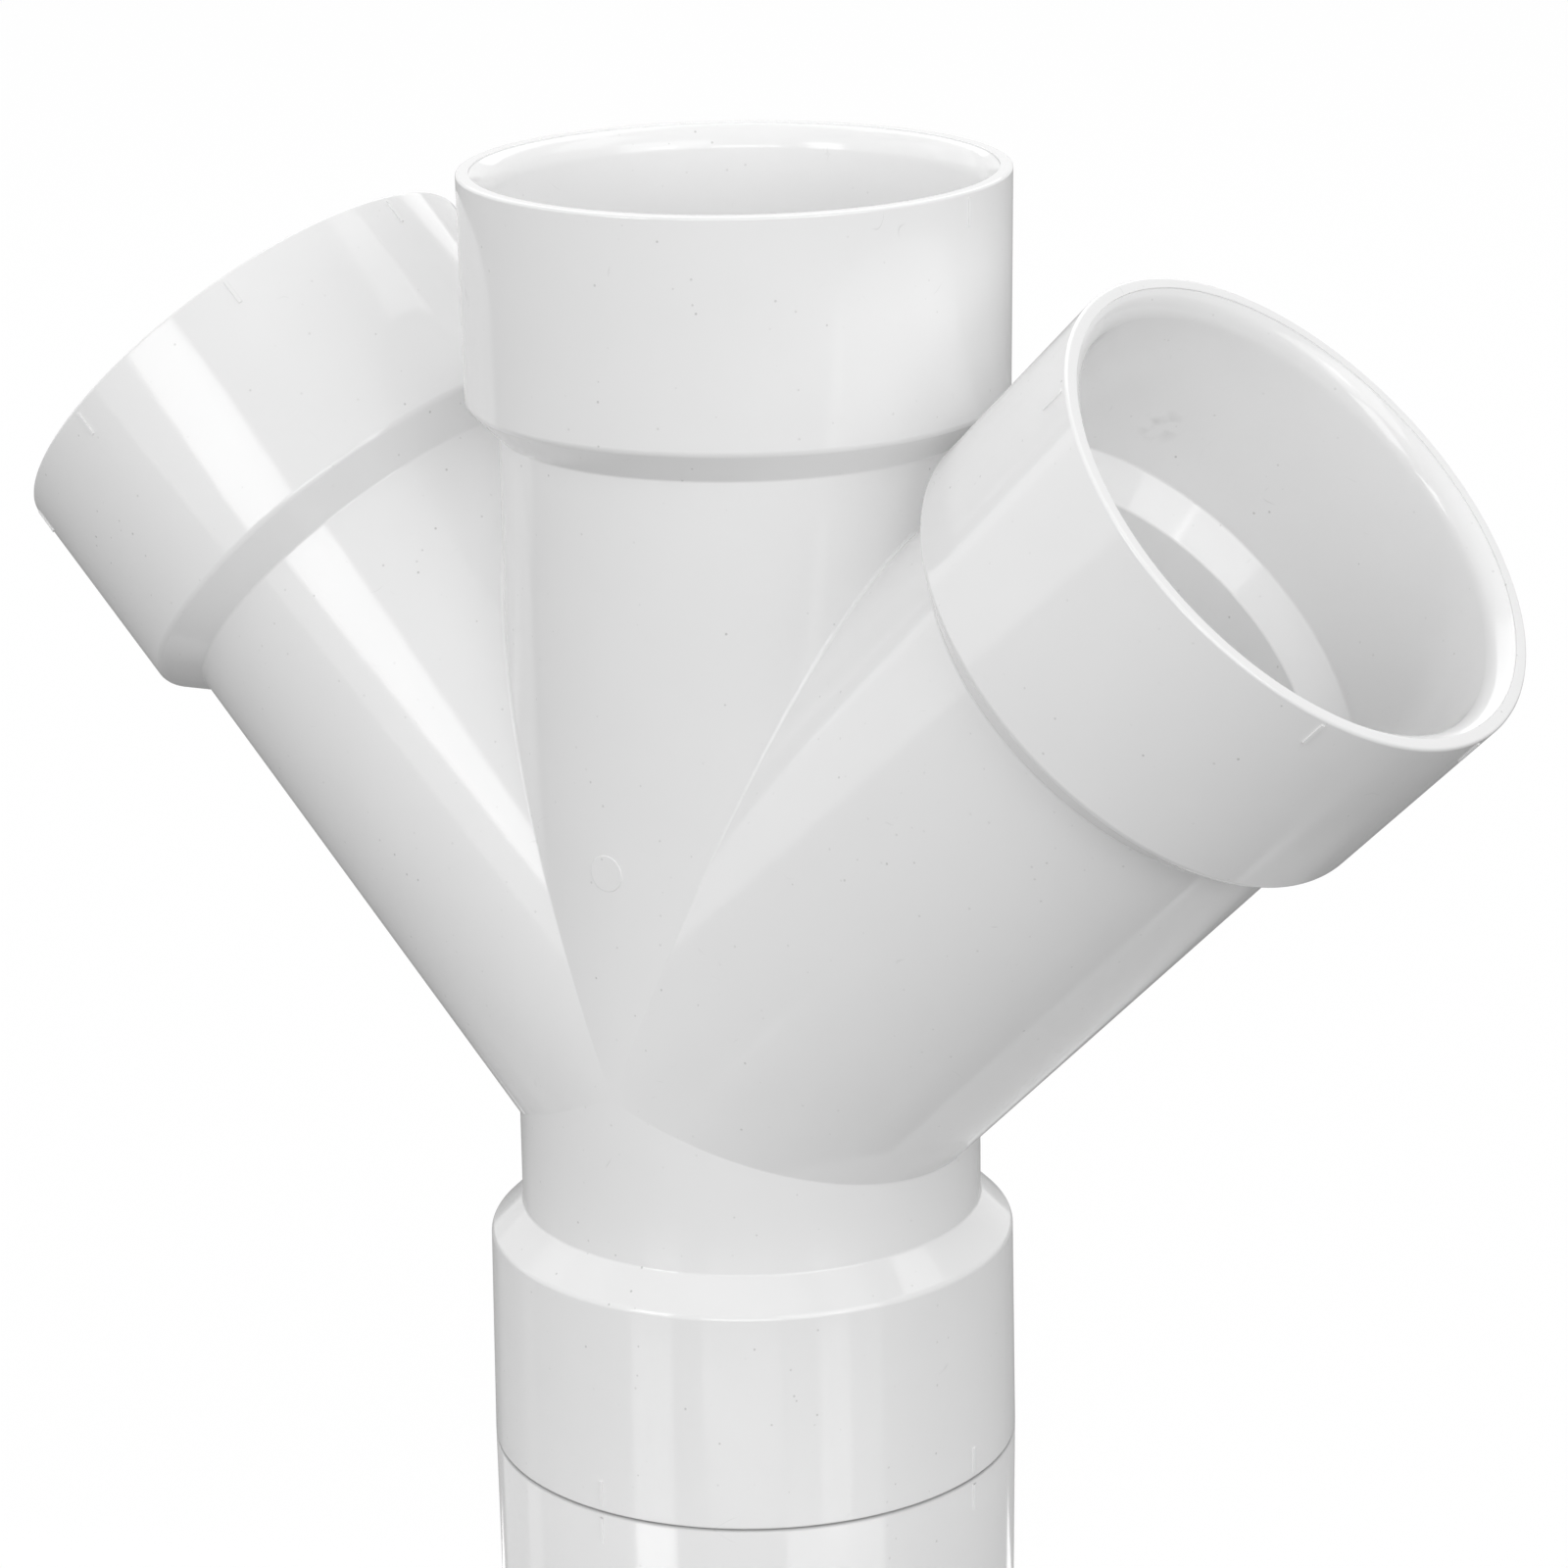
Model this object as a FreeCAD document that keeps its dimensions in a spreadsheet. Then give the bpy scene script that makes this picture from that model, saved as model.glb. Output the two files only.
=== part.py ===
"""Double wye for a drain: one moulded piece with a straight run, two branches and a hub on each of four ends.

The run stands on the Z axis with the mouth of its foot hub at the origin. The branches leave the run at the
centre, where all the axes meet, and lean to +X and -X in the XZ plane. Millimetres and degrees.
"""
import FreeCAD, Part
import os

import Sketcher

NODE = "double_wye"

# Driving sizes: the name of each cell, its value and what it sets.
SIZES = (
    ("foot_leg", 101.3, "centre to the mouth of the foot hub"),
    ("top_leg", 210.8, "centre to the mouth of the top hub"),
    ("branch_leg", 210.8, "centre to the mouth of each branch hub"),
    ("branch_angle", 45.0, "lean of each branch from the run, in degrees"),
    ("tube_radius", 55.7, "outside of the run between its hubs"),
    ("tube_wall", 6.0, "wall of the run and the branches between the hubs"),
    ("branch_relief", 0.25, "how much smaller in radius a branch is than the run"),
    ("pipe_radius", 57.15, "outside of the pipe that each hub takes"),
    ("pipe_clearance", 0.1, "socket over the pipe, as a radius"),
    ("socket_depth", 50.8, "mouth to the stop"),
    ("lead_in_depth", 6.35, "flare at the mouth, measured along the axis"),
    ("lead_in_width", 3.75, "flare at the mouth, measured across the wall"),
    ("lead_in_bend", 2.7, "mouth to the bend between the two slopes of that flare"),
    ("lead_in_start", 1.0, "how much wider than the socket the flare is at that bend"),
    ("stop_length", 6.8, "slope from the stop down to the waterway"),
    ("rim_width", 3.0, "flat rim round each mouth"),
    ("hub_length", 53.4, "mouth to the corner of the shoulder"),
    ("hub_draft", 0.5, "radius that a hub loses from its mouth to its shoulder"),
    ("shoulder_length", 7.6, "slope from the hub down to the tube"),
    ("shoulder_ease", 0.85, "bevel on the corner of the shoulder, along the hub and down the slope"),
    ("rim_ease", 0.4, "bevel on the outer edge of the rim"),
    ("crease_ease", 1.2, "bevel in the valley between the run and a branch"),
    ("tick_length", 6.5, "alignment tick along the hub"),
    ("tick_width", 0.9, "alignment tick across"),
    ("tick_height", 0.3, "alignment tick over the hub at its mouth"),
    ("tick_setback", 1.5, "mouth to the start of a tick"),
    ("run_ticks", 4, "ticks round each hub of the run"),
    ("branch_ticks", 8, "ticks round each branch hub"),
    ("pin_mark_radius", 4.4, "round ejector mark on the front of the run"),
    ("pin_mark_height", 0.15, "how far that mark stands off the run"),
    ("pin_mark_rise", 55.5, "centre to that mark"),
)

# Lengths and radii that several sketches share, as expressions on those cells.
HEIGHT = "Sizes.foot_leg + Sizes.top_leg"
RUN_TUBE = "Sizes.tube_radius"
BRANCH_TUBE = "Sizes.tube_radius - Sizes.branch_relief"
RUN_WATERWAY = f"{RUN_TUBE} - Sizes.tube_wall"
BRANCH_WATERWAY = f"{BRANCH_TUBE} - Sizes.tube_wall"
SOCKET = "Sizes.pipe_radius + Sizes.pipe_clearance"
LEAD_IN_BEND = f"{SOCKET} + Sizes.lead_in_start"
RIM_INSIDE = f"{SOCKET} + Sizes.lead_in_width"
MOUTH = f"{RIM_INSIDE} + Sizes.rim_width"
SHOULDER = f"{MOUTH} - Sizes.hub_draft"
TICK_TOP = f"{MOUTH} + Sizes.tick_height"

# The branches: name, and lean as an expression. Angles in a sketch run counterclockwise from the front.
BRANCHES = (("Right", "-Sizes.branch_angle"), ("Left", "Sizes.branch_angle"))

# How a sketch constraint names the ends and centre of a curve, and the two axes. The origin starts the H axis.
START, END, CENTRE = range(1, 4)
H_AXIS, V_AXIS = range(-1, -3, -1)

# Two radii that differ by less are the same one.
SAME = 1e-6


def make_sheet(doc):
    sheet = doc.addObject("Spreadsheet::Sheet", "Sizes")
    for row, (name, value, meaning) in enumerate(SIZES, start=1):
        sheet.set(f"A{row}", name)
        sheet.set(f"B{row}", str(value))
        sheet.set(f"C{row}", meaning)
        sheet.setAlias(f"B{row}", name)
    doc.recompute()


def new_sketch(body, name, lean=None):
    """A sketch in the XZ plane. With a lean, its origin is the centre and its V axis leans by that much."""
    sketch = body.newObject("Sketcher::SketchObject", name)
    plane = next(feature for feature in body.Origin.OriginFeatures if feature.Role == "XZ_Plane")
    sketch.AttachmentSupport = [(plane, "")]
    sketch.MapMode = "FlatFace"
    if lean:
        sketch.setExpression("AttachmentOffset.Base.y", "Sizes.foot_leg")
        sketch.setExpression("AttachmentOffset.Rotation.Angle", lean)
    return sketch


def evaluate(holder, expression):
    found = holder.evalExpression(expression)
    return float(getattr(found, "Value", found))


def bind(sketch, kind, geometry, expression):
    """Adds a constraint whose size follows an expression. geometry is what the constraint takes before it."""
    index = sketch.addConstraint(Sketcher.Constraint(kind, *geometry, evaluate(sketch, expression)))
    sketch.setExpression(f"Constraints[{index}]", expression)


def place(sketch, curve, end, across, along):
    """Holds one point of a curve at two distances from the sketch's origin."""
    for kind, expression, axis in (("DistanceX", across, V_AXIS), ("DistanceY", along, H_AXIS)):
        if expression == "0":
            sketch.addConstraint(Sketcher.Constraint("PointOnObject", curve, end, axis))
        else:
            bind(sketch, kind, (H_AXIS, START, curve, end), expression)


def draw_outline(sketch, corners):
    """Joins corners, given as (across, along), by straight lines into a closed outline."""
    points = [FreeCAD.Vector(*(evaluate(sketch, size) for size in corner), 0) for corner in corners]
    for here, there in zip(points, points[1:] + points[:1]):
        sketch.addGeometry(Part.LineSegment(here, there), False)
    for i, (across, along) in enumerate(corners):
        sketch.addConstraint(Sketcher.Constraint("Coincident", (i - 1) % len(corners), END, i, START))
        place(sketch, i, START, across, along)


def hub_corners(tube, mouth, inwards):
    """Outside of a hub, from the tube to its rim. inwards is the sign that leads from the mouth inwards."""
    shoulder = f"{mouth} {inwards} Sizes.hub_length"
    root = f"{shoulder} {inwards} Sizes.shoulder_length"
    drop = f"({SHOULDER} - ({tube}))"
    share = f"Sizes.shoulder_ease / hypot({drop}; Sizes.shoulder_length)"
    return [
        (tube, root),
        (f"{SHOULDER} - {drop} * {share}", f"{shoulder} {inwards} Sizes.shoulder_length * {share}"),
        (SHOULDER, f"{mouth} {inwards} (Sizes.hub_length - Sizes.shoulder_ease)"),
        (MOUTH, f"{mouth} {inwards} Sizes.rim_ease"),
        (f"{MOUTH} - Sizes.rim_ease", mouth),
    ]


def bore_corners(waterway, mouth, inwards):
    """Inside of a hub, from the waterway over the stop and along the socket to the rim."""
    stop = f"{mouth} {inwards} Sizes.socket_depth"
    return [
        (waterway, f"{stop} {inwards} Sizes.stop_length"),
        (SOCKET, stop),
        (SOCKET, f"{mouth} {inwards} Sizes.lead_in_depth"),
        (LEAD_IN_BEND, f"{mouth} {inwards} Sizes.lead_in_bend"),
        (RIM_INSIDE, mouth),
    ]


def spin(body, kind, name, corners, lean=None):
    """Turns an outline all the way round the V axis of its sketch."""
    sketch = new_sketch(body, f"{name}Outline", lean)
    draw_outline(sketch, corners)
    feature = body.newObject(kind, name)
    feature.Profile = sketch
    feature.ReferenceAxis = (sketch, ["V_Axis"])
    feature.Angle = 360


def add_ticks(body, name, mouth, inwards, count, lean=None):
    """Raised ticks round the outside of a hub, which line the fitting up with marks on a pipe."""
    near = f"{mouth} {inwards} Sizes.tick_setback"
    far = f"{near} {inwards} Sizes.tick_length"
    sketch = new_sketch(body, f"{name}TickOutline", lean)
    draw_outline(sketch, [(RUN_TUBE, near), (TICK_TOP, near), (TICK_TOP, far), (RUN_TUBE, far)])
    tick = body.newObject("PartDesign::Pad", f"{name}Tick")
    tick.Profile = sketch
    tick.SideType = "Symmetric"
    tick.setExpression("Length", "Sizes.tick_width")
    ring = body.newObject("PartDesign::PolarPattern", f"{name}Ticks")
    ring.Originals = [tick]
    ring.Axis = (sketch, ["V_Axis"])
    ring.Angle = 360
    ring.setExpression("Occurrences", count)
    body.Tip = ring


def add_pin_mark(body):
    """A flat round mark on the front of the run, left by an ejector pin."""
    sketch = new_sketch(body, "PinMarkOutline")
    rise = "Sizes.foot_leg + Sizes.pin_mark_rise"
    centre = FreeCAD.Vector(0, evaluate(sketch, rise), 0)
    circle = Part.Circle(centre, FreeCAD.Vector(0, 0, 1), evaluate(sketch, "Sizes.pin_mark_radius"))
    sketch.addGeometry(circle, False)
    place(sketch, 0, CENTRE, "0", rise)
    bind(sketch, "Radius", (0,), "Sizes.pin_mark_radius")
    mark = body.newObject("PartDesign::Pad", "PinMark")
    mark.Profile = sketch
    mark.setExpression("Length", f"{RUN_TUBE} + Sizes.pin_mark_height")


def is_tube(face, radius, along_run):
    """Whether a face is part of a cylinder of that radius, about the run's axis or about a branch's."""
    if not isinstance(face.Surface, Part.Cylinder) or abs(face.Surface.Radius - radius) > SAME:
        return False
    return (abs(face.Surface.Axis.z) > 1 - SAME) == along_run


def is_crease(shape, edge, run_radius, branch_radius):
    """Whether the run's wall meets a branch's wall along an edge."""
    faces = shape.ancestorsOfType(edge, Part.Face)
    run = any(is_tube(face, run_radius, True) for face in faces)
    branch = any(is_tube(face, branch_radius, False) for face in faces)
    return run and branch


def add_tubes(body):
    """The run and both branches as plain round bars, with the valleys between them eased."""
    run = [("0", "0"), (RUN_TUBE, "0"), (RUN_TUBE, HEIGHT), ("0", HEIGHT)]
    spin(body, "PartDesign::Revolution", "Run", run)
    leg = "Sizes.branch_leg"
    for name, lean in BRANCHES:
        branch = [("0", "0"), (BRANCH_TUBE, "0"), (BRANCH_TUBE, leg), ("0", leg)]
        spin(body, "PartDesign::Revolution", f"{name}Branch", branch, lean)
    body.Document.recompute()
    bars = body.Tip
    radii = evaluate(body, RUN_TUBE), evaluate(body, BRANCH_TUBE)
    edges = enumerate(bars.Shape.Edges, start=1)
    creases = body.newObject("PartDesign::Chamfer", "Creases")
    creases.Base = (bars, [f"Edge{i}" for i, edge in edges if is_crease(bars.Shape, edge, *radii)])
    creases.setExpression("Size", "Sizes.crease_ease")


def add_hub(body, name, tube, mouth, inwards, lean=None):
    """A hub round the end of a tube, solid until the bores are cut."""
    corners = hub_corners(tube, mouth, inwards)
    root = corners[0][1]
    spin(body, "PartDesign::Revolution", f"{name}Hub", [("0", root), *corners, ("0", mouth)], lean)


def cut_bores(body):
    foot, top = reversed(bore_corners(RUN_WATERWAY, "0", "+")), bore_corners(RUN_WATERWAY, HEIGHT, "-")
    spin(body, "PartDesign::Groove", "RunBore", [("0", "0"), *foot, *top, ("0", HEIGHT)])
    leg = "Sizes.branch_leg"
    branch = [("0", "0"), (BRANCH_WATERWAY, "0"), *bore_corners(BRANCH_WATERWAY, leg, "-"), ("0", leg)]
    for name, lean in BRANCHES:
        spin(body, "PartDesign::Groove", f"{name}Bore", branch, lean)


def make_double_wye(doc):
    body = doc.addObject("PartDesign::Body", "DoubleWye")
    body.Label = NODE
    add_tubes(body)
    add_hub(body, "Foot", RUN_TUBE, "0", "+")
    add_hub(body, "Top", RUN_TUBE, HEIGHT, "-")
    for name, lean in BRANCHES:
        add_hub(body, name, BRANCH_TUBE, "Sizes.branch_leg", "-", lean)
    add_pin_mark(body)
    add_ticks(body, "Foot", "0", "+", "Sizes.run_ticks")
    add_ticks(body, "Top", HEIGHT, "-", "Sizes.run_ticks")
    for name, lean in BRANCHES:
        add_ticks(body, name, "Sizes.branch_leg", "-", "Sizes.branch_ticks", lean)
    cut_bores(body)
    doc.recompute()
    return body


def check(doc, body):
    failed = [thing.Name for thing in doc.Objects if {"Invalid", "Error"} & set(thing.State)]
    if failed:
        raise RuntimeError(f"failed to build: {failed}")
    if body.Shape.isNull() or not body.Shape.isValid() or len(body.Shape.Solids) != 1:
        raise RuntimeError("the body is not one valid solid")


document = FreeCAD.newDocument("DoubleWye")
make_sheet(document)
piece = make_double_wye(document)
check(document, piece)
os.makedirs("parts", exist_ok=True)
piece.Shape.exportStep(f"parts/{NODE}.step")
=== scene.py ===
"""Looks of the double wye: one moulding in white PVC on a polished pale floor, between two strip lights."""

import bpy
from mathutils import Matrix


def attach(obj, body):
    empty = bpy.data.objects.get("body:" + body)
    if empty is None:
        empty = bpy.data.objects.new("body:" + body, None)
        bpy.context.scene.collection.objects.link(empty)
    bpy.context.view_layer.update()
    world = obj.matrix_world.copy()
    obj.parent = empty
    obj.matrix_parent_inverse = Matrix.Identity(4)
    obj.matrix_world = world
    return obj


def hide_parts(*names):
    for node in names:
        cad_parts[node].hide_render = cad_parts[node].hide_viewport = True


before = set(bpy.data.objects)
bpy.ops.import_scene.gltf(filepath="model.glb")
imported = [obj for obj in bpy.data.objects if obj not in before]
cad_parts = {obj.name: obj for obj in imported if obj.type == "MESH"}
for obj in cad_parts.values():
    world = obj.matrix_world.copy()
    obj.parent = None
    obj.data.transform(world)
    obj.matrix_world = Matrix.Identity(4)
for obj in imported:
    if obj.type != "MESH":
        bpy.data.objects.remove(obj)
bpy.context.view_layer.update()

import math

import bpy
from mathutils import Matrix, Vector

MM = 0.001

# The fitting, in millimetres and degrees, as the CAD has it.
HEIGHT = 312.1
CENTRE = 101.3
TOP_LEG = HEIGHT - CENTRE
BRANCH_LEG = 210.8
BRANCH_LEAN = 45
TUBE = 55.7
WATERWAY = 49.7
SOCKET = 57.25
SOCKET_DEPTH = 50.8
STOP_LENGTH = 6.8
LEAD_IN_DEPTH = 6.35
RIM_INSIDE = 61.0
MOUTH = 64.0
SHOULDER = 63.5
HUB_LENGTH = 53.4
SHOULDER_LENGTH = 7.6
TICK_LENGTH = 6.5
TICK_WIDTH = 0.9
TICK_TOP = 64.3
TICK_SETBACK = 1.5
PIN_MARK_RADIUS = 4.4
PIN_MARK_TOP = TUBE + 0.15
PIN_MARK_RISE = CENTRE + 55.5

# The step that the core leaves inside each mouth, finer than the CAD's detail.
CORE_STEP = 0.4
CORE_LEDGE = 0.2

# Rounds that the tool's corners give the moulding.
ROOT_ROUND = 0.4
SHOULDER_ROUND = 0.95
RIM_ROUND = 0.77
CORE_ROUND = 0.1
STOP_ROUND = 0.4
CREASE_ROUND = 0.95
MARK_ROUND = 0.09
PIN_MARK_ROUND = 0.3

# How deep the raised marks start in the wall, and how far a leg runs past the centre before it is cut.
TICK_SUNK = 1
PIN_MARK_SUNK = 2
LEG_OVERRUN = 5

# How many points a round skin has, and how many steps a flare.
ROUND_STEPS = 256
PIN_MARK_STEPS = 64
LEAD_IN_STEPS = 8

# How close points are that count as touching, as one point, or as on a cut.
TOUCHING = 0.001
MERGED = 0.005
CUT_EXACTNESS = 0.0001

# Faces that meet at less than this many degrees are shaded as one.
SMOOTH_BELOW = 25

# The grey smudge inside the right socket.
FINGER_MARK_PLACE = (91.8, 37.2, 254.6)
FINGER_MARK_RADIUS = 6

# The photograph's view, fitted to the rims and outlines. Its place counts from half way up the fitting.
VIEW_AZIMUTH = 34.81
VIEW_ELEVATION = 16.88
VIEW_ROLL = -0.86
VIEW_DISTANCE = 1219.04
VIEW_RIGHT = 9.21
VIEW_UP = 7.57
SENSOR_WIDTH = 36
LENS = 117.51435

# The room, in metres, and the brightness of its even fill, where 1 is white.
FLOOR_SIZE = 6
POLISH_FULL = 0.17
POLISH_END = 0.24
TABLE_DIM_TO = 1.0
TABLE_WHITE_FROM = 3.0
LAMP_AIM = (0, 0, 0.16)
FILL = 0.45

# The factor, colours and result of a Mix node that mixes colours, by their places among its sockets.
MIX_SHARE, MIX_FIRST, MIX_SECOND, MIX_RESULT = 0, 6, 7, 2


def select_none():
    """Lets go of everything, because an operator acts on all that is selected."""
    for thing in bpy.context.selected_objects:
        thing.select_set(False)


def choose(thing):
    """Makes one object the only one that operators act on."""
    select_none()
    thing.select_set(True)
    bpy.context.view_layer.objects.active = thing


def settle(thing):
    """Puts an object's place and turn into its mesh."""
    choose(thing)
    bpy.ops.object.transform_apply(location=True, rotation=True, scale=True)


def open_all(thing):
    """Opens an object in edit mode with its whole mesh selected."""
    choose(thing)
    bpy.ops.object.mode_set(mode="EDIT")
    bpy.ops.mesh.select_all(action="SELECT")


def turn_skin(name, rings):
    """A turned skin about Z, drawn out ring by ring from (radius, height) pairs."""
    select_none()
    radius, height = rings[0]
    bpy.ops.mesh.primitive_circle_add(vertices=ROUND_STEPS, radius=radius * MM,
                                      location=(0, 0, height * MM))
    thing = bpy.context.object
    thing.name = name
    settle(thing)
    open_all(thing)
    for wider, higher in rings[1:]:
        bpy.ops.mesh.extrude_region_move(
            TRANSFORM_OT_translate={"value": (0, 0, (higher - height) * MM)})
        bpy.ops.transform.resize(value=(wider / radius, wider / radius, 1),
                                 center_override=(0, 0, higher * MM))
        radius, height = wider, higher
    bpy.ops.object.mode_set(mode="OBJECT")
    return thing


def bevel_edges(thing, wanted, width, segments):
    """Rounds each edge whose two ends, in millimetres, pass a test."""
    choose(thing)
    bpy.ops.object.mode_set(mode="EDIT")
    bpy.ops.mesh.select_mode(type="EDGE")
    bpy.ops.mesh.select_all(action="DESELECT")
    bpy.ops.object.mode_set(mode="OBJECT")
    points = [point.co / MM for point in thing.data.vertices]
    for edge in thing.data.edges:
        edge.select = wanted([points[i] for i in edge.vertices])
    bpy.ops.object.mode_set(mode="EDIT")
    bpy.ops.mesh.bevel(offset_type="OFFSET", offset=width * MM, segments=segments, affect="EDGES")
    bpy.ops.object.mode_set(mode="OBJECT")


def round_rings(thing, corners, width, segments):
    """Rounds the corner at each ring of edges that has one of these (radius, height) pairs."""
    def on_a_ring(ends):
        spots = [(math.hypot(x, y), z) for x, y, z in ends]
        return any(all(math.dist(spot, corner) < TOUCHING for spot in spots) for corner in corners)
    bevel_edges(thing, on_a_ring, width, segments)


def leg_rings(length):
    """A leg's wall from the centre out to its mouth and back in along the bore.

    The core that shapes the bore leaves a small step at the mouth's inner edge, then the flare as an arc.
    """
    shoulder = length - HUB_LENGTH
    root = shoulder - SHOULDER_LENGTH
    stop = length - SOCKET_DEPTH
    flare = RIM_INSIDE - CORE_LEDGE - SOCKET
    depth = LEAD_IN_DEPTH - CORE_STEP
    flare_radius = (flare ** 2 + depth ** 2) / (2 * flare)
    sweep = math.asin(depth / flare_radius)
    rings = [(TUBE, -LEG_OVERRUN), (TUBE, root), (SHOULDER, shoulder), (MOUTH, length),
             (RIM_INSIDE, length), (RIM_INSIDE, length - CORE_STEP)]
    for step in range(LEAD_IN_STEPS, -1, -1):
        angle = sweep * step / LEAD_IN_STEPS
        rings.append((SOCKET + flare_radius * (1 - math.cos(angle)),
                      length - LEAD_IN_DEPTH + flare_radius * math.sin(angle)))
    return rings + [(SOCKET, stop), (WATERWAY, stop - STOP_LENGTH), (WATERWAY, -LEG_OVERRUN)]


def mitre(leg, angle):
    """Cuts a leg off along the plane through the centre that leans this many degrees from its axis."""
    side = math.copysign(1, angle)
    lean = math.radians(abs(angle))
    open_all(leg)
    bpy.ops.mesh.bisect(plane_co=(0, 0, 0), plane_no=(side * math.cos(lean), 0, -math.sin(lean)),
                        clear_outer=True, threshold=CUT_EXACTNESS * MM)
    bpy.ops.object.mode_set(mode="OBJECT")


def leg_frame(lean):
    """Where a leg stands: its Z runs from the centre out along its axis, in degrees from upright."""
    return Matrix.Translation((0, 0, CENTRE * MM)) @ Matrix.Rotation(math.radians(lean), 4, "Y")


def make_leg(name, length, lean, neighbours):
    """One leg with its hub, cut to meet its neighbours halfway; all leans are degrees from upright."""
    rings = leg_rings(length)
    root, shoulder, rim_outside, rim_inside = rings[1:5]
    stop_corners = rings[-3:-1]
    leg = turn_skin(name, rings)
    for corners, width, segments in (([root], ROOT_ROUND, 3), ([shoulder], SHOULDER_ROUND, 5),
                                     ([rim_outside], RIM_ROUND, 4), ([rim_inside], CORE_ROUND, 2),
                                     (stop_corners, STOP_ROUND, 3)):
        round_rings(leg, corners, width, segments)
    for neighbour in neighbours:
        mitre(leg, (neighbour - lean) / 2)
    leg.matrix_world = leg_frame(lean)
    settle(leg)
    return leg


def join(things):
    """Makes one object of several and returns it."""
    choose(things[0])
    for thing in things:
        thing.select_set(True)
    bpy.ops.object.join()
    return bpy.context.object


def join_legs():
    """The four legs as one closed skin, without the marks."""
    wye = join([make_leg("top", TOP_LEG, 0, (BRANCH_LEAN, -BRANCH_LEAN)),
                make_leg("right", BRANCH_LEG, BRANCH_LEAN, (0, 180)),
                make_leg("foot", CENTRE, 180, (BRANCH_LEAN, 360 - BRANCH_LEAN)),
                make_leg("left", BRANCH_LEG, -BRANCH_LEAN, (0, -180))])
    open_all(wye)
    bpy.ops.mesh.remove_doubles(threshold=MERGED * MM)
    bpy.ops.mesh.normals_make_consistent(inside=False)
    bpy.ops.object.mode_set(mode="OBJECT")
    return wye


def round_creases(wye):
    """Fillets the creases between the legs.

    The round keeps its radius, so it narrows to nothing at the front and back, where the tubes run level.
    """
    weights = wye.data.attributes.new("bevel_weight_edge", "FLOAT", "EDGE")
    widest = CREASE_ROUND * math.tan(math.radians(180 - BRANCH_LEAN) / 2)
    points = [(point.co.x / MM, point.co.y / MM, point.co.z / MM - CENTRE)
              for point in wye.data.vertices]
    for edge in wye.data.edges:
        ends = [points[i] for i in edge.vertices]
        if any(math.hypot(x, y) < TUBE - 10 * TOUCHING for x, y, z in ends):
            continue
        for lean, turn in ((BRANCH_LEAN / 2, 180 - BRANCH_LEAN), (90 + BRANCH_LEAN / 2, BRANCH_LEAN)):
            run, rise = math.sin(math.radians(lean)), math.cos(math.radians(lean))
            if all(abs(abs(x) * rise - z * run) < TOUCHING and z * rise >= -TOUCHING for x, y, z in ends):
                around = sum(math.acos(min(1, abs(y) / TUBE)) for x, y, z in ends) / 2
                half_turn = math.asin(math.sin(around) * math.sin(math.radians(turn) / 2))
                weights.data[edge.index].value = CREASE_ROUND * math.tan(half_turn) / widest
    choose(wye)
    change = wye.modifiers.new("Creases", "BEVEL")
    change.limit_method = "WEIGHT"
    change.offset_type = "OFFSET"
    change.width = widest * MM
    change.segments = 4
    bpy.ops.object.modifier_apply(modifier=change.name)


def make_tick():
    """One raised alignment tick as it stands on an upright hub's +X side, with the mouth at zero."""
    select_none()
    foot = SHOULDER - TICK_SUNK
    bpy.ops.mesh.primitive_cube_add(size=1, location=((TICK_TOP + foot) / 2 * MM, 0,
                                                      -(TICK_SETBACK + TICK_LENGTH / 2) * MM))
    tick = bpy.context.object
    tick.name = "tick"
    tick.scale = ((TICK_TOP - foot) * MM, TICK_WIDTH * MM, TICK_LENGTH * MM)
    settle(tick)
    bevel_edges(tick, lambda ends: True, MARK_ROUND, 2)
    return tick


def copy_tick(tick, length, lean, around):
    """Sets a copy of the tick on a leg's hub, turned this many degrees about the leg's axis."""
    select_none()
    twin = tick.copy()
    twin.data = tick.data.copy()
    bpy.context.scene.collection.objects.link(twin)
    twin.matrix_world = (leg_frame(lean) @ Matrix.Translation((0, 0, length * MM))
                         @ Matrix.Rotation(math.radians(around), 4, "Z"))
    settle(twin)
    return twin


def make_ticks():
    """The ticks of all four hubs, by their turns in degrees. The top and right hubs have none in front."""
    first = make_tick()
    ticks = []
    for length, lean, turns in ((CENTRE, 180, (0, 90, 180, 270)),
                                (TOP_LEG, 0, (0, 90, 180)),
                                (BRANCH_LEG, BRANCH_LEAN, (0, 45, 90, 135, 180, 225, 315)),
                                (BRANCH_LEG, -BRANCH_LEAN, (0, 45, 90, 135, 180, 225, 270, 315))):
        ticks += [copy_tick(first, length, lean, turn) for turn in turns]
    bpy.data.objects.remove(first)
    return ticks


def make_pin_mark():
    """The round flat that an ejector pin's end leaves on the front of the run."""
    select_none()
    middle = -(PIN_MARK_TOP - PIN_MARK_SUNK / 2)
    bpy.ops.mesh.primitive_cylinder_add(vertices=PIN_MARK_STEPS, radius=PIN_MARK_RADIUS * MM,
                                        depth=PIN_MARK_SUNK * MM,
                                        location=(0, middle * MM, PIN_MARK_RISE * MM),
                                        rotation=(math.radians(90), 0, 0))
    mark = bpy.context.object
    mark.name = "pin mark"
    settle(mark)
    bevel_edges(mark, lambda ends: all(y < middle for x, y, z in ends), PIN_MARK_ROUND, 3)
    return mark


def add_marks(wye, marks):
    """Makes the raised marks one with the moulding's skin."""
    choose(wye)
    change = wye.modifiers.new("Marks", "BOOLEAN")
    change.operation = "UNION"
    change.solver = "EXACT"
    change.object = marks
    bpy.ops.object.modifier_apply(modifier=change.name)
    bpy.data.objects.remove(marks)


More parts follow.
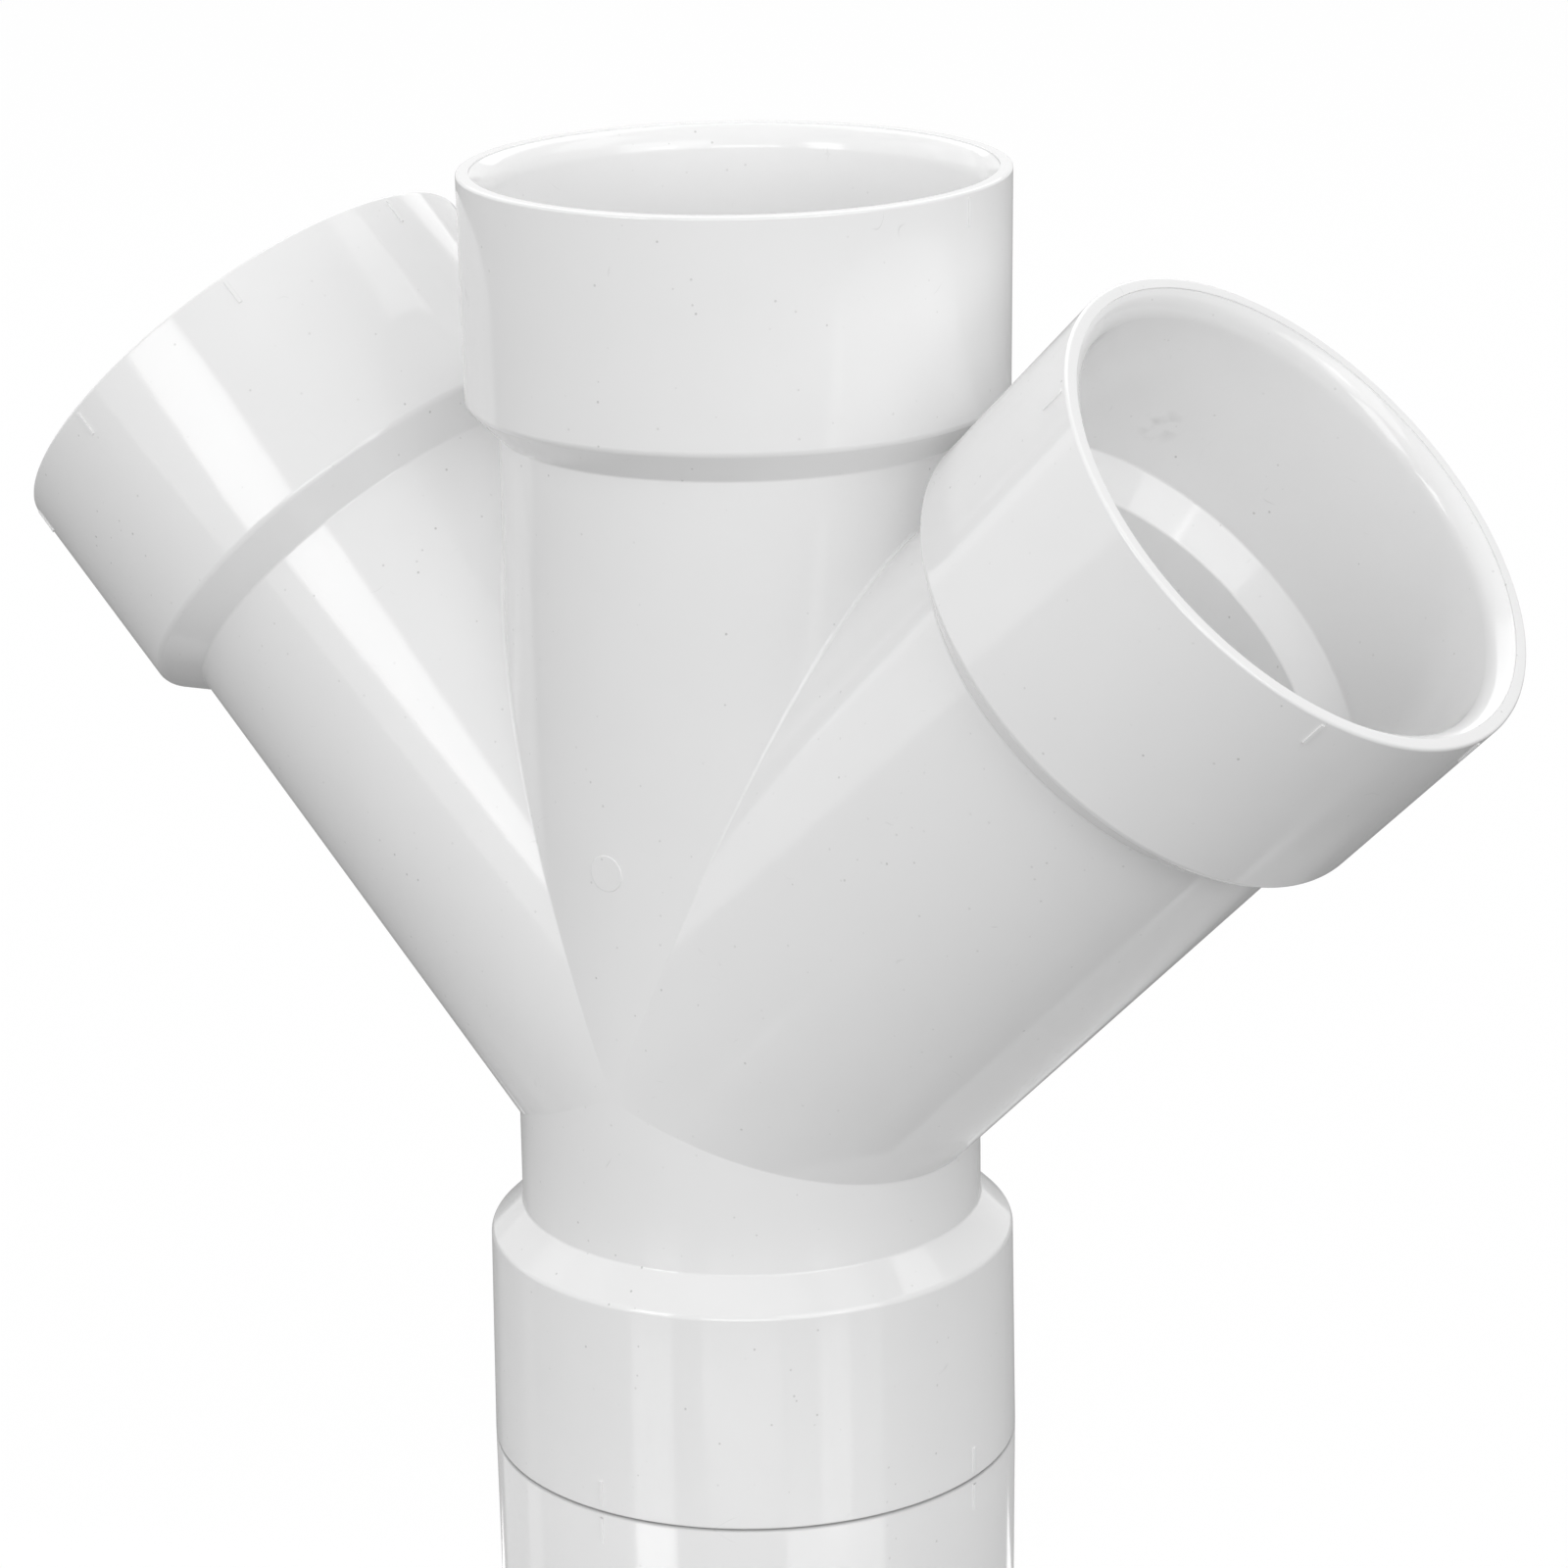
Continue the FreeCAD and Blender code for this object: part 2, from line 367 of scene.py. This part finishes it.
def smooth(wye):
    """Smooth shading over the rounds.

    The wide faces beside them are kept true, so that reflections run straight.
    """
    choose(wye)
    bpy.ops.object.shade_smooth_by_angle(angle=math.radians(SMOOTH_BELOW))
    change = wye.modifiers.new("True faces", "WEIGHTED_NORMAL")
    change.mode = "FACE_AREA"
    change.weight = 100
    change.keep_sharp = True
    bpy.ops.object.modifier_apply(modifier=change.name)


def make_wye():
    """The whole moulding with its creases and marks."""
    wye = join_legs()
    wye.name = "double_wye_moulding"
    wye.data.name = "double_wye_moulding"
    round_creases(wye)
    add_marks(wye, join(make_ticks() + [make_pin_mark()]))
    smooth(wye)
    return wye


def place_camera():
    """The photograph's view."""
    azimuth, elevation, roll = (math.radians(angle) for angle in (VIEW_AZIMUTH, VIEW_ELEVATION, VIEW_ROLL))
    back = Vector((math.sin(azimuth) * math.cos(elevation), -math.cos(azimuth) * math.cos(elevation),
                   math.sin(elevation)))
    right = Vector((math.cos(azimuth), math.sin(azimuth), 0))
    up = back.cross(right)
    turn = Matrix.Rotation(roll, 3, back)
    right, up = turn @ right, turn @ up
    data = bpy.data.cameras.new("Camera")
    data.sensor_width = SENSOR_WIDTH
    data.lens = LENS
    data.clip_start, data.clip_end = 0.05, 20
    camera = bpy.data.objects.new("Camera", data)
    bpy.context.scene.collection.objects.link(camera)
    place = Vector((0, 0, HEIGHT / 2)) + back * VIEW_DISTANCE + right * VIEW_RIGHT + up * VIEW_UP
    camera.matrix_world = Matrix.Translation(place * MM) @ Matrix((right, up, back)).transposed().to_4x4()
    bpy.context.scene.camera = camera


def linear(code):
    """A hex sRGB colour as linear RGBA."""
    shares = [int(code[i:i + 2], 16) / 255 for i in (0, 2, 4)]
    return [share / 12.92 if share <= 0.04045 else ((share + 0.055) / 1.055) ** 2.4
            for share in shares] + [1]


def add(material, kind, settings=None, links=None):
    """Adds one node with its settings and with links into its sockets, from (node, output) pairs."""
    tree = material.node_tree
    node = tree.nodes.new("ShaderNode" + kind)
    for name, value in (settings or {}).items():
        if isinstance(name, int) or name in node.inputs:
            node.inputs[name].default_value = value
        else:
            setattr(node, name, value)
    for socket, (source, output) in (links or {}).items():
        tree.links.new(source.outputs[output], node.inputs[socket])
    return node


def per_mm(size):
    """The texture scale that gives features of this many millimetres on coordinates in metres."""
    return 1 / (size * MM)


def specks(material, where):
    """Dust and rub marks a few tenths of a millimetre across, faint and plain ones, in loose clusters."""
    cells = add(material, "TexVoronoi", {"Scale": per_mm(3.7)}, {"Vector": (where, "Object")})
    dot = add(material, "MapRange", {"From Min": 0.1, "From Max": 0.06, "To Max": 0.45},
              {"Value": (cells, "Distance")})
    own = add(material, "SeparateColor", {}, {"Color": (cells, "Color")})
    strength = add(material, "MapRange", {"From Min": 0.35, "From Max": 1.0}, {"Value": (own, "Red")})
    slow = add(material, "TexNoise", {"Scale": per_mm(38)}, {"Vector": (where, "Object")})
    clusters = add(material, "MapRange", {"From Min": 0.42, "From Max": 0.62, "To Min": 0.35},
                   {"Value": (slow, 0)})
    plainness = add(material, "Math", {"operation": "MULTIPLY"}, {0: (strength, 0), 1: (clusters, 0)})
    return add(material, "Math", {"operation": "MULTIPLY"}, {0: (dot, 0), 1: (plainness, 0)})


def hairlines(material, where):
    """Fine scratches a few millimetres long: thin contours of a slow noise, cut short by another."""
    contour = add(material, "TexNoise", {"Scale": per_mm(17), "Detail": 1.0, "Distortion": 0.8},
                  {"Vector": (where, "Object")})
    side = add(material, "Math", {"operation": "SUBTRACT", 1: 0.5}, {0: (contour, 0)})
    offset = add(material, "Math", {"operation": "ABSOLUTE"}, {0: (side, 0)})
    line = add(material, "MapRange", {"From Min": 0.005, "From Max": 0.001, "To Max": 0.15},
               {"Value": (offset, 0)})
    patches = add(material, "TexNoise", {"Scale": per_mm(9)}, {"Vector": (where, "Object")})
    pieces = add(material, "MapRange", {"From Min": 0.66, "From Max": 0.74}, {"Value": (patches, 0)})
    return add(material, "Math", {"operation": "MULTIPLY"}, {0: (line, 0), 1: (pieces, 0)})


def finger_mark(material, where):
    """A faint grey smudge of a few millimetres inside the right socket."""
    away = add(material, "VectorMath", {"operation": "DISTANCE", 1: [x * MM for x in FINGER_MARK_PLACE]},
               {0: (where, "Object")})
    near = add(material, "MapRange", {"From Min": FINGER_MARK_RADIUS * MM,
                                      "From Max": 0.3 * FINGER_MARK_RADIUS * MM, "To Max": 0.16},
               {"Value": (away, "Value")})
    ragged = add(material, "TexNoise", {"Scale": per_mm(3.5), "Detail": 1.0}, {"Vector": (where, "Object")})
    worn = add(material, "MapRange", {"From Min": 0.42, "From Max": 0.6}, {"Value": (ragged, 0)})
    return add(material, "Math", {"operation": "MULTIPLY"}, {0: (near, 0), 1: (worn, 0)})


def white_moulded_pvc():
    """Rigid PVC, injection moulded in a polished tool: an even white with a sharp but weak gloss.

    Slow clouds in gloss and colour come from melt that cools unevenly, and the specks, hairlines and the
    finger mark from handling. The skin is polished but not flat: it waves by hundredths of a millimetre.
    """
    plastic = bpy.data.materials.new("white moulded pvc")
    plastic.use_nodes = True
    shader = plastic.node_tree.nodes["Principled BSDF"]
    shader.inputs["IOR"].default_value = 1.53
    where = add(plastic, "TexCoord")
    grey = specks(plastic, where)
    for mark in (hairlines(plastic, where), finger_mark(plastic, where)):
        grey = add(plastic, "Math", {"operation": "MAXIMUM"}, {0: (grey, 0), 1: (mark, 0)})
    clouds = add(plastic, "TexNoise", {"Scale": per_mm(26)}, {"Vector": (where, "Object")})
    white = add(plastic, "Mix", {"data_type": "RGBA", MIX_FIRST: linear("F9F9F9"),
                                 MIX_SECOND: linear("F5F5F5")}, {MIX_SHARE: (clouds, 0)})
    colour = add(plastic, "Mix", {"data_type": "RGBA", MIX_SECOND: linear("83827F")},
                 {MIX_SHARE: (grey, 0), MIX_FIRST: (white, MIX_RESULT)})
    polish = add(plastic, "MapRange", {"From Min": 0.3, "From Max": 0.7, "To Min": 0.075, "To Max": 0.11},
                 {"Value": (clouds, 0)})
    worn = add(plastic, "Math", {"operation": "MULTIPLY_ADD", 1: 0.4}, {0: (grey, 0), 2: (polish, 0)})
    waves = add(plastic, "TexNoise", {"Scale": per_mm(19)}, {"Vector": (where, "Object")})
    relief = add(plastic, "Bump", {"Distance": 0.05 * MM}, {"Height": (waves, 0)})
    for socket, node, output in (("Base Color", colour, MIX_RESULT), ("Roughness", worn, 0),
                                 ("Normal", relief, 0)):
        plastic.node_tree.links.new(node.outputs[output], shader.inputs[socket])
    return plastic


def polished_white_floor():
    """Polished white acrylic: it mirrors at the camera's low angle and is plain white from above.

    The moulding itself sees it as a dimmer table with a polished middle, which gives the edges their grey,
    and in its gloss the table grows white towards the horizon.
    """
    acrylic = bpy.data.materials.new("polished white acrylic")
    acrylic.use_nodes = True
    nodes = acrylic.node_tree.nodes
    nodes.remove(nodes["Principled BSDF"])
    where = add(acrylic, "TexCoord")
    away = add(acrylic, "VectorMath", {"operation": "LENGTH"}, {0: (where, "Object")})
    middle = add(acrylic, "MapRange", {"From Min": POLISH_END, "From Max": POLISH_FULL, "To Max": 0.4},
                 {"Value": (away, "Value")})
    steep = add(acrylic, "LayerWeight", {"Blend": 0.5})
    mirror = add(acrylic, "MapRange", {"From Min": 0.2, "From Max": 0.55, "To Max": 0.985},
                 {"Value": (steep, "Facing")})
    white = add(acrylic, "BsdfDiffuse", {"Color": linear("F4F4F4")})
    table = add(acrylic, "BsdfDiffuse", {"Color": linear("808080")})
    polish = add(acrylic, "BsdfGlossy", {"Color": linear("FFFFFF"), "Roughness": 0.03})
    lighting = add(acrylic, "MixShader", {}, {0: (middle, 0), 1: (table, "BSDF"), 2: (polish, "BSDF")})
    path = add(acrylic, "LightPath")
    far = add(acrylic, "MapRange", {"From Min": TABLE_DIM_TO, "From Max": TABLE_WHITE_FROM, "To Min": 0.15},
              {"Value": (away, "Value")})
    dim = add(acrylic, "Math", {"operation": "MULTIPLY"}, {0: (path, "Is Glossy Ray"), 1: (far, 0)})
    direct = add(acrylic, "Math", {"operation": "ADD"},
                 {0: (path, "Is Camera Ray"), 1: (path, "Is Transmission Ray")})
    shine = add(acrylic, "Math", {"operation": "MULTIPLY"}, {0: (mirror, "Result"), 1: (direct, 0)})
    seen = add(acrylic, "MixShader", {}, {0: (shine, 0), 1: (white, "BSDF"), 2: (polish, "BSDF")})
    share = add(acrylic, "Math", {"operation": "ADD", "use_clamp": True}, {0: (direct, 0), 1: (dim, 0)})
    both = add(acrylic, "MixShader", {}, {0: (share, 0), 1: (lighting, "Shader"), 2: (seen, "Shader")})
    acrylic.node_tree.links.new(both.outputs[0], nodes["Material Output"].inputs["Surface"])
    return acrylic


def lay_floor():
    """The floor under the foot hub."""
    select_none()
    bpy.ops.mesh.primitive_plane_add(size=FLOOR_SIZE)
    floor = bpy.context.object
    floor.name = "floor"
    floor.data.materials.append(polished_white_floor())
    return floor


def studio_world(fill):
    """White behind all that is seen, mirrored or seen through, and a dimmer even fill for the light.

    Only a first mirror image is white, and here a ray's first bounce counts as depth 2.
    """
    world = bpy.data.worlds.new("studio")
    world.use_nodes = True
    bpy.context.scene.world = world
    path = add(world, "LightPath")
    near = add(world, "Math", {"operation": "LESS_THAN", 1: 2.5}, {0: (path, "Ray Depth")})
    mirrored = add(world, "Math", {"operation": "MULTIPLY"}, {0: (path, "Is Glossy Ray"), 1: (near, 0)})
    direct = add(world, "Math", {"operation": "MAXIMUM"}, {0: (path, "Is Camera Ray"), 1: (mirrored, 0)})
    seen = add(world, "Math", {"operation": "MAXIMUM"}, {0: (direct, 0), 1: (path, "Is Transmission Ray")})
    level = add(world, "MapRange", {"To Min": fill, "To Max": 1.0}, {"Value": (seen, 0)})
    background = world.node_tree.nodes["Background"]
    background.inputs["Color"].default_value = linear("FFFFFF")
    world.node_tree.links.new(level.outputs["Result"], background.inputs["Strength"])


def softbox(name, place, size, level, aim):
    """A soft lamp at a place in metres, turned to a point. Its level is its brightness, 1 being white."""
    data = bpy.data.lights.new(name, "AREA")
    data.shape = "RECTANGLE"
    data.size, data.size_y = size
    data.energy = level * math.pi * size[0] * size[1]
    lamp = bpy.data.objects.new(name, data)
    bpy.context.scene.collection.objects.link(lamp)
    turn = (Vector(aim) - Vector(place)).to_track_quat("-Z", "Y")
    lamp.matrix_world = Matrix.Translation(place) @ turn.to_matrix().to_4x4()


wye = make_wye()
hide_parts("double_wye")
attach(wye, "root")
wye.data.materials.append(white_moulded_pvc())
print("moulding:", len(wye.data.vertices), "vertices", len(wye.data.polygons), "faces")

lay_floor()
place_camera()
studio_world(FILL)

# Two strips, turned level, draw the long bright lines, and six soft lamps light the rest.
softbox("left strip", (-0.265, -1.6, 0.76), (0.53, 0.74), 3.4, (0, 0, 0.76))
softbox("right strip", (1.69, -0.62, 0.7), (0.42, 0.26), 2.8, (0, 0, 0.7))
softbox("front soft", (0.84, -1.45, 0.46), (1, 0.5), 2.55, LAMP_AIM)
softbox("left front soft", (-1.44, -1.44, 0.98), (3.4, 2.0), 0.44, LAMP_AIM)
softbox("left soft", (-1.72, 0.15, 0.96), (1.3, 1.3), 0.37, LAMP_AIM)
softbox("right soft", (1.74, -0.63, 0.91), (1.5, 1.3), 1.66, LAMP_AIM)
softbox("back left soft", (-0.58, 1.0, 1.54), (1.8, 1.8), 1.36, LAMP_AIM)
softbox("back right soft", (0.84, 0.59, 1.39), (0.8, 0.8), 1.04, LAMP_AIM)

# White walls pass light on many times, deep in the sockets most of all.
bpy.context.scene.cycles.diffuse_bounces = 12
bpy.context.scene.view_settings.view_transform = "Standard"
